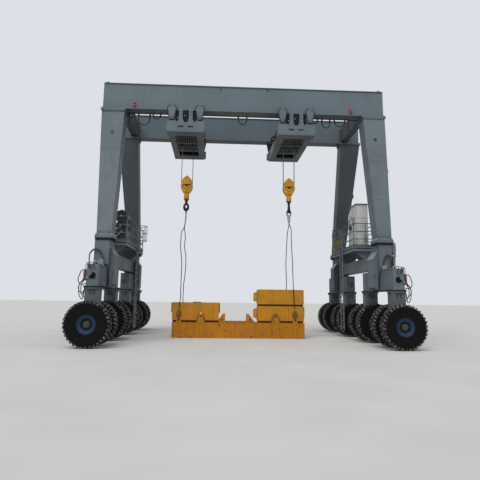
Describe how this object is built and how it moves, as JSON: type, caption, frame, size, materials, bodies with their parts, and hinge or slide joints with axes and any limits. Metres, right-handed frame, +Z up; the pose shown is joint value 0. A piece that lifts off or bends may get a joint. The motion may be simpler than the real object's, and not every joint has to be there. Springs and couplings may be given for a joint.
{
  "type": "rubber tyred gantry crane",
  "caption": "Portal crane on steered rubber tyred wheel groups, two underslung trolleys whose hooks share a slung, weighted lifting beam.",
  "frame": {"origin": "ground level, at the centre of the portal's footprint", "axes": "+X across the span to the right as seen from the front, +Y along the wheel rows to the rear, +Z up"},
  "size_m": [12.8198, 11.1, 11.37],
  "materials": {
    "grey": "weathered satin grey paint",
    "grey_dark": "weathered grey paint in shade",
    "yellow": "scuffed yellow paint",
    "yellow_dark": "rust-marked yellow paint",
    "hook_black": "forged, black",
    "rope_steel": "greased wire rope",
    "dark_steel": "greased drum",
    "machine_black": "black paint",
    "cable_black": "cable sheath",
    "cabinet_light": "light grey paint",
    "rim_blue": "dark blue paint",
    "tyre": "matt rubber"
  },
  "bodies": {
    "portal": {"front_girder": "grey", "rear_girder": "grey_dark", "end_ties": "grey_dark", "legs_left": "grey", "legs_right": "grey", "side_frame_left": "grey", "side_frame_right": "grey", "platforms": "grey", "railings": "grey", "ladders": "grey_dark", "power_cabinet": "cabinet_light", "drive_unit": "machine_black", "control_boxes": "cabinet_light", "festoon_cable": "cable_black"},
    "group_front_left": {"bogie_front_left": "grey"},
    "steer_l1": {"column_l1": "grey"},
    "wheels_l1": {"tyres_l1": "tyre", "rims_l1": "rim_blue"},
    "steer_l2": {"column_l2": "grey"},
    "wheels_l2": {"tyres_l2": "tyre", "rims_l2": "rim_blue"},
    "group_rear_left": {"bogie_rear_left": "grey"},
    "steer_l4": {"column_l4": "grey"},
    "wheels_l4": {"tyres_l4": "tyre", "rims_l4": "rim_blue"},
    "steer_l3": {"column_l3": "grey"},
    "wheels_l3": {"tyres_l3": "tyre", "rims_l3": "rim_blue"},
    "group_front_right": {"bogie_front_right": "grey"},
    "steer_r1": {"column_r1": "grey"},
    "wheels_r1": {"tyres_r1": "tyre", "rims_r1": "rim_blue"},
    "steer_r2": {"column_r2": "grey"},
    "wheels_r2": {"tyres_r2": "tyre", "rims_r2": "rim_blue"},
    "group_rear_right": {"bogie_rear_right": "grey"},
    "steer_r4": {"column_r4": "grey"},
    "wheels_r4": {"tyres_r4": "tyre", "rims_r4": "rim_blue"},
    "steer_r3": {"column_r3": "grey"},
    "wheels_r3": {"tyres_r3": "tyre", "rims_r3": "rim_blue"},
    "carriage_left": {"trolley_left": "grey_dark", "drum_left": "dark_steel", "ropes_left": "rope_steel"},
    "hoist_left": {"block_left": "yellow", "hook_left": "hook_black", "slings_left": "rope_steel", "sling_left_front": "rope_steel", "sling_left_rear": "rope_steel", "lifting_beam": "yellow_dark", "weights": "yellow"},
    "carriage_right": {"trolley_right": "grey_dark", "drum_right": "dark_steel", "ropes_right": "rope_steel"},
    "hoist_right": {"block_right": "yellow", "hook_right": "hook_black", "slings_right": "rope_steel", "sling_right_front": "rope_steel", "sling_right_rear": "rope_steel"}
  },
  "joints": [
    {"name": "rock_front_left", "type": "hinge", "parent": "portal", "child": "group_front_left", "pos_m": [-5.6, -3.2, 2.56], "axis": [1, 0, 0], "range_deg": [-1.5, 1.5]},
    {"name": "steer_l1", "type": "hinge", "parent": "group_front_left", "child": "steer_l1", "pos_m": [-5.6, -4.75, 1.5], "axis": [0, 0, 1], "range_deg": [0, 90]},
    {"name": "roll_l1", "type": "hinge", "parent": "steer_l1", "child": "wheels_l1", "pos_m": [-5.6, -4.75, 0.81], "axis": [0, 1, 0], "continuous": true},
    {"name": "steer_l2", "type": "hinge", "parent": "group_front_left", "child": "steer_l2", "pos_m": [-5.6, -1.65, 1.5], "axis": [0, 0, 1], "range_deg": [0, 90]},
    {"name": "roll_l2", "type": "hinge", "parent": "steer_l2", "child": "wheels_l2", "pos_m": [-5.6, -1.65, 0.81], "axis": [0, 1, 0], "continuous": true},
    {"name": "rock_rear_left", "type": "hinge", "parent": "portal", "child": "group_rear_left", "pos_m": [-5.6, 3.2, 2.56], "axis": [1, 0, 0], "range_deg": [-1.5, 1.5]},
    {"name": "steer_l4", "type": "hinge", "parent": "group_rear_left", "child": "steer_l4", "pos_m": [-5.6, 4.75, 1.5], "axis": [0, 0, 1], "range_deg": [0, 90]},
    {"name": "roll_l4", "type": "hinge", "parent": "steer_l4", "child": "wheels_l4", "pos_m": [-5.6, 4.75, 0.81], "axis": [0, 1, 0], "continuous": true},
    {"name": "steer_l3", "type": "hinge", "parent": "group_rear_left", "child": "steer_l3", "pos_m": [-5.6, 1.65, 1.5], "axis": [0, 0, 1], "range_deg": [0, 90]},
    {"name": "roll_l3", "type": "hinge", "parent": "steer_l3", "child": "wheels_l3", "pos_m": [-5.6, 1.65, 0.81], "axis": [0, 1, 0], "continuous": true},
    {"name": "rock_front_right", "type": "hinge", "parent": "portal", "child": "group_front_right", "pos_m": [5.6, -3.2, 2.56], "axis": [1, 0, 0], "range_deg": [-1.5, 1.5]},
    {"name": "steer_r1", "type": "hinge", "parent": "group_front_right", "child": "steer_r1", "pos_m": [5.6, -4.75, 1.5], "axis": [0, 0, 1], "range_deg": [0, 90]},
    {"name": "roll_r1", "type": "hinge", "parent": "steer_r1", "child": "wheels_r1", "pos_m": [5.6, -4.75, 0.81], "axis": [0, 1, 0], "continuous": true},
    {"name": "steer_r2", "type": "hinge", "parent": "group_front_right", "child": "steer_r2", "pos_m": [5.6, -1.65, 1.5], "axis": [0, 0, 1], "range_deg": [0, 90]},
    {"name": "roll_r2", "type": "hinge", "parent": "steer_r2", "child": "wheels_r2", "pos_m": [5.6, -1.65, 0.81], "axis": [0, 1, 0], "continuous": true},
    {"name": "rock_rear_right", "type": "hinge", "parent": "portal", "child": "group_rear_right", "pos_m": [5.6, 3.2, 2.56], "axis": [1, 0, 0], "range_deg": [-1.5, 1.5]},
    {"name": "steer_r4", "type": "hinge", "parent": "group_rear_right", "child": "steer_r4", "pos_m": [5.6, 4.75, 1.5], "axis": [0, 0, 1], "range_deg": [0, 90]},
    {"name": "roll_r4", "type": "hinge", "parent": "steer_r4", "child": "wheels_r4", "pos_m": [5.6, 4.75, 0.81], "axis": [0, 1, 0], "continuous": true},
    {"name": "steer_r3", "type": "hinge", "parent": "group_rear_right", "child": "steer_r3", "pos_m": [5.6, 1.65, 1.5], "axis": [0, 0, 1], "range_deg": [0, 90]},
    {"name": "roll_r3", "type": "hinge", "parent": "steer_r3", "child": "wheels_r3", "pos_m": [5.6, 1.65, 0.81], "axis": [0, 1, 0], "continuous": true},
    {"name": "travel_left", "type": "slide", "parent": "portal", "child": "carriage_left", "axis": [1, 0, 0], "range_m": [-1.4, 1.4]},
    {"name": "travel_right", "type": "slide", "parent": "portal", "child": "carriage_right", "axis": [1, 0, 0], "range_m": [-1.4, 1.4]},
    {"name": "lift_left", "type": "slide", "parent": "carriage_left", "child": "hoist_left", "axis": [0, 0, 1], "range_m": [0, 1], "deforming": ["ropes_left"]},
    {"name": "lift_right", "type": "slide", "parent": "carriage_right", "child": "hoist_right", "axis": [0, 0, 1], "range_m": [0, 1], "deforming": ["ropes_right"]}
  ],
  "couplings": [
    {"joint": "steer_l2", "follows": "steer_l1", "ratio": 1},
    {"joint": "steer_l3", "follows": "steer_l4", "ratio": 1},
    {"joint": "steer_r2", "follows": "steer_r1", "ratio": 1},
    {"joint": "steer_r3", "follows": "steer_r4", "ratio": 1},
    {"joint": "travel_right", "follows": "travel_left", "ratio": 1},
    {"joint": "lift_right", "follows": "lift_left", "ratio": 1}
  ]
}
